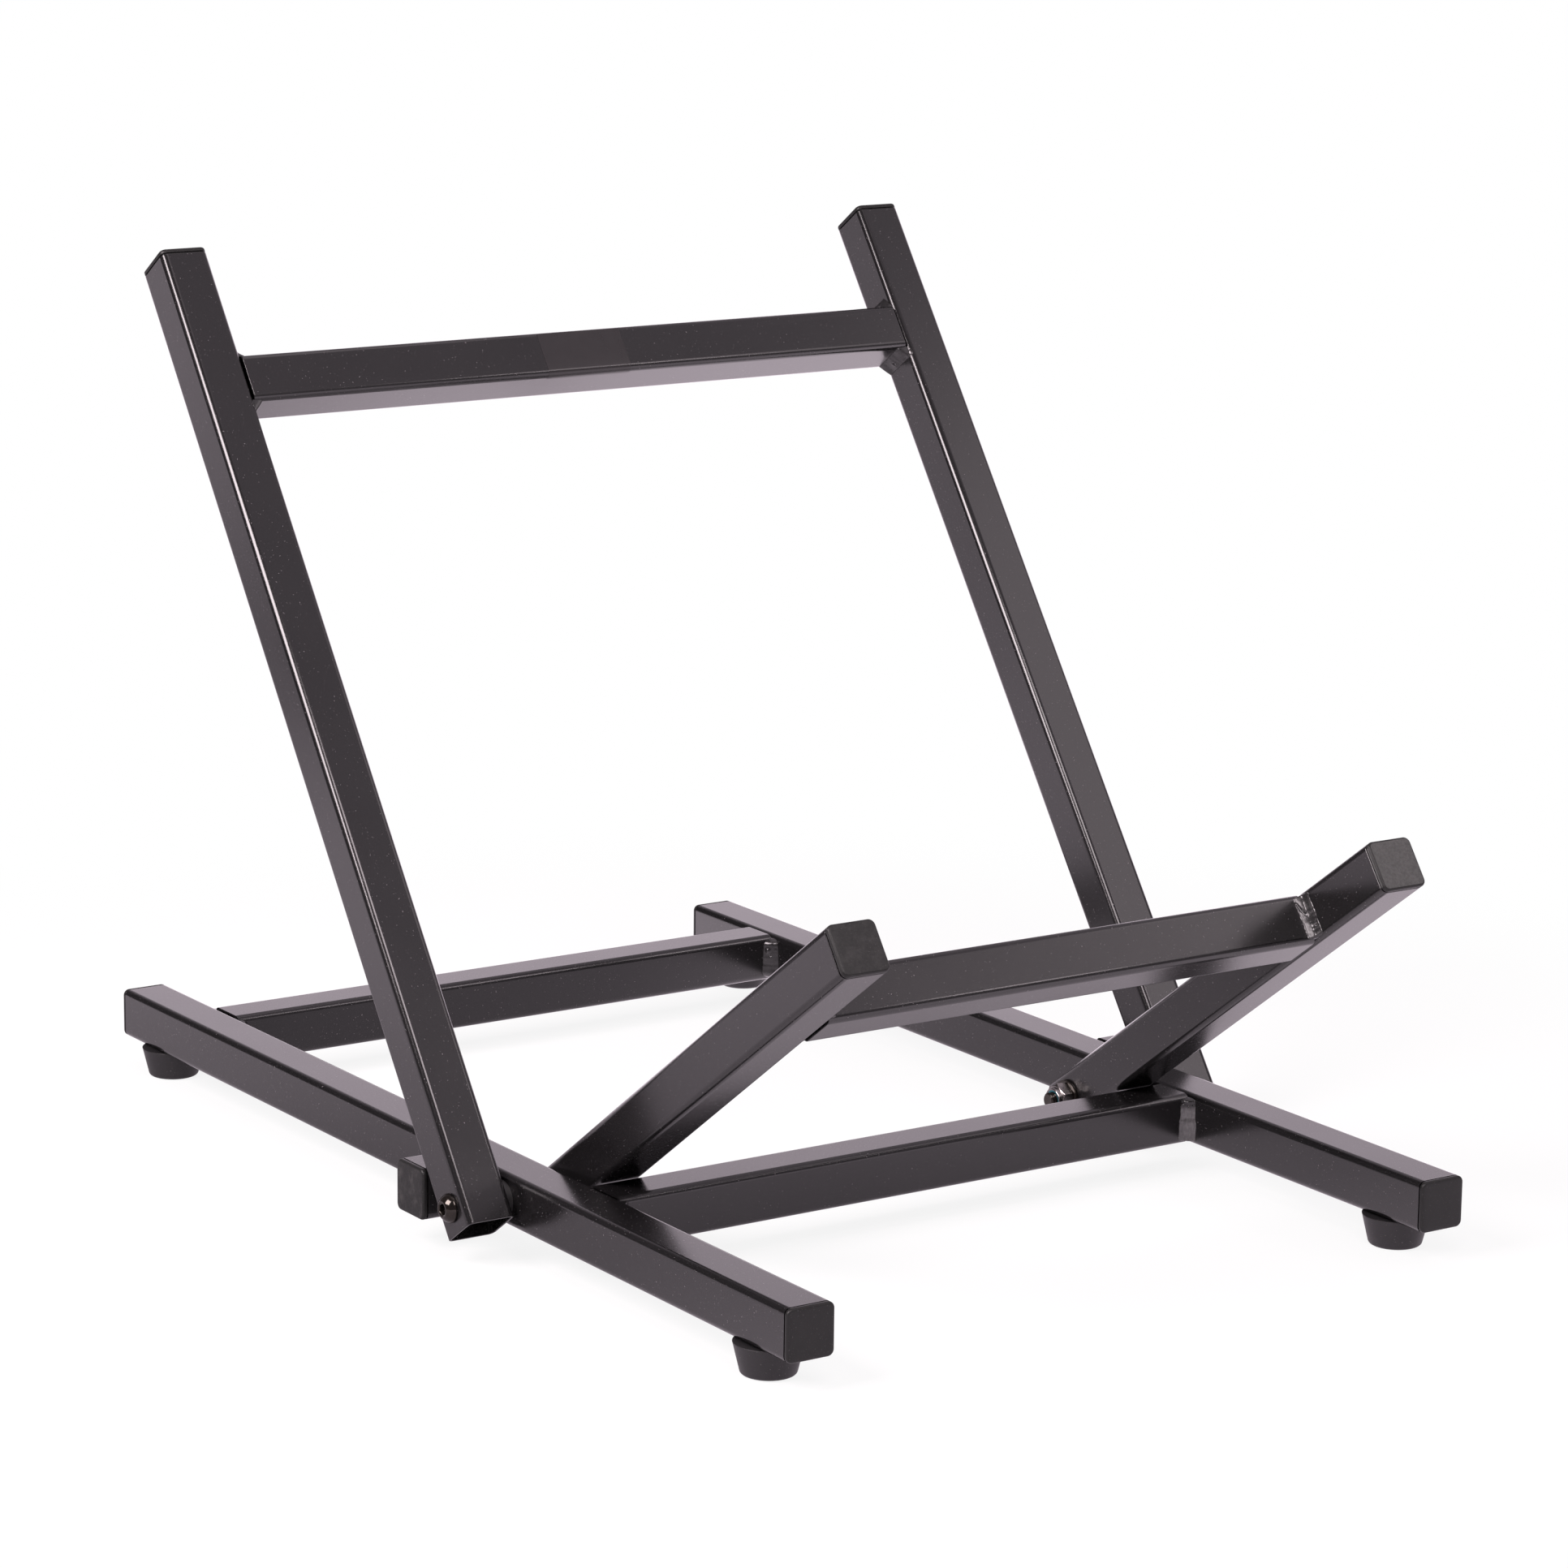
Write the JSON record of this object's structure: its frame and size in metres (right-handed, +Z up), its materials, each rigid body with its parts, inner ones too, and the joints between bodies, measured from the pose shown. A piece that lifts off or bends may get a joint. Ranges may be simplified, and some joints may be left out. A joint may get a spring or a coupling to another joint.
{
  "type": "folding amp stand",
  "caption": "Tilt-back floor stand of square steel tube: welded base rails on rubber feet, a leaning back rest and a front support that fold about one pivot line.",
  "frame": {"origin": "on the floor, midway between the two rails and midway along them", "axes": "+X to the stand's right seen from the front, +Y to the rear along the rails, +Z up"},
  "size_m": [0.4484, 0.629, 0.444],
  "materials": {
    "powder_coat": "satin black powder coat with fine orange peel",
    "weld_coat": "satin black powder coat over a rippled weld bead",
    "end_plug": "matte moulded polyethylene",
    "foot_rubber": "matte moulded rubber",
    "black_bolt": "glossy black oxide",
    "dark_nut": "dark bright steel",
    "nylon": "blue-green nylon",
    "spacer": "black nylon",
    "zinc": "zinc-plated steel"
  },
  "bodies": {
    "base_frame": {"left_rail": "powder_coat", "right_rail": "powder_coat", "front_cross_tube": "powder_coat", "rear_cross_tube": "powder_coat", "left_stop_stub": "powder_coat", "right_stop_stub": "powder_coat", "front_left_rail_plug": "end_plug", "front_right_rail_plug": "end_plug", "rear_left_rail_plug": "end_plug", "rear_right_rail_plug": "end_plug", "left_stub_plug": "end_plug", "right_stub_plug": "end_plug", "front_left_foot": "foot_rubber", "front_right_foot": "foot_rubber", "rear_left_foot": "foot_rubber", "rear_right_foot": "foot_rubber", "foot_screws": "zinc", "foot_washers": "zinc", "front_cross_welds": "weld_coat", "rear_cross_welds": "weld_coat", "stub_welds": "weld_coat", "left_pivot_bolt": "black_bolt", "right_pivot_bolt": "black_bolt", "outer_spacer_washers": "spacer", "inner_spacer_washers": "spacer", "nut_washers": "dark_nut", "left_lock_nut": "dark_nut", "right_lock_nut": "dark_nut", "nylon_rings": "nylon"},
    "back_rest": {"left_upright": "powder_coat", "right_upright": "powder_coat", "back_crossbar": "powder_coat", "left_upright_plug": "end_plug", "right_upright_plug": "end_plug", "back_welds": "weld_coat"},
    "front_support": {"left_arm": "powder_coat", "right_arm": "powder_coat", "support_crossbar": "powder_coat", "left_arm_plug": "end_plug", "right_arm_plug": "end_plug", "support_welds": "weld_coat"}
  },
  "joints": [
    {"name": "back_rest_fold", "type": "hinge", "parent": "base_frame", "child": "back_rest", "pos_m": [0, -0.076, 0.0275], "axis": [1, 0, 0], "range_deg": [0, 125.3]},
    {"name": "front_support_fold", "type": "hinge", "parent": "base_frame", "child": "front_support", "pos_m": [0, -0.076, 0.0275], "axis": [1, 0, 0], "range_deg": [-144.1, 0]}
  ]
}
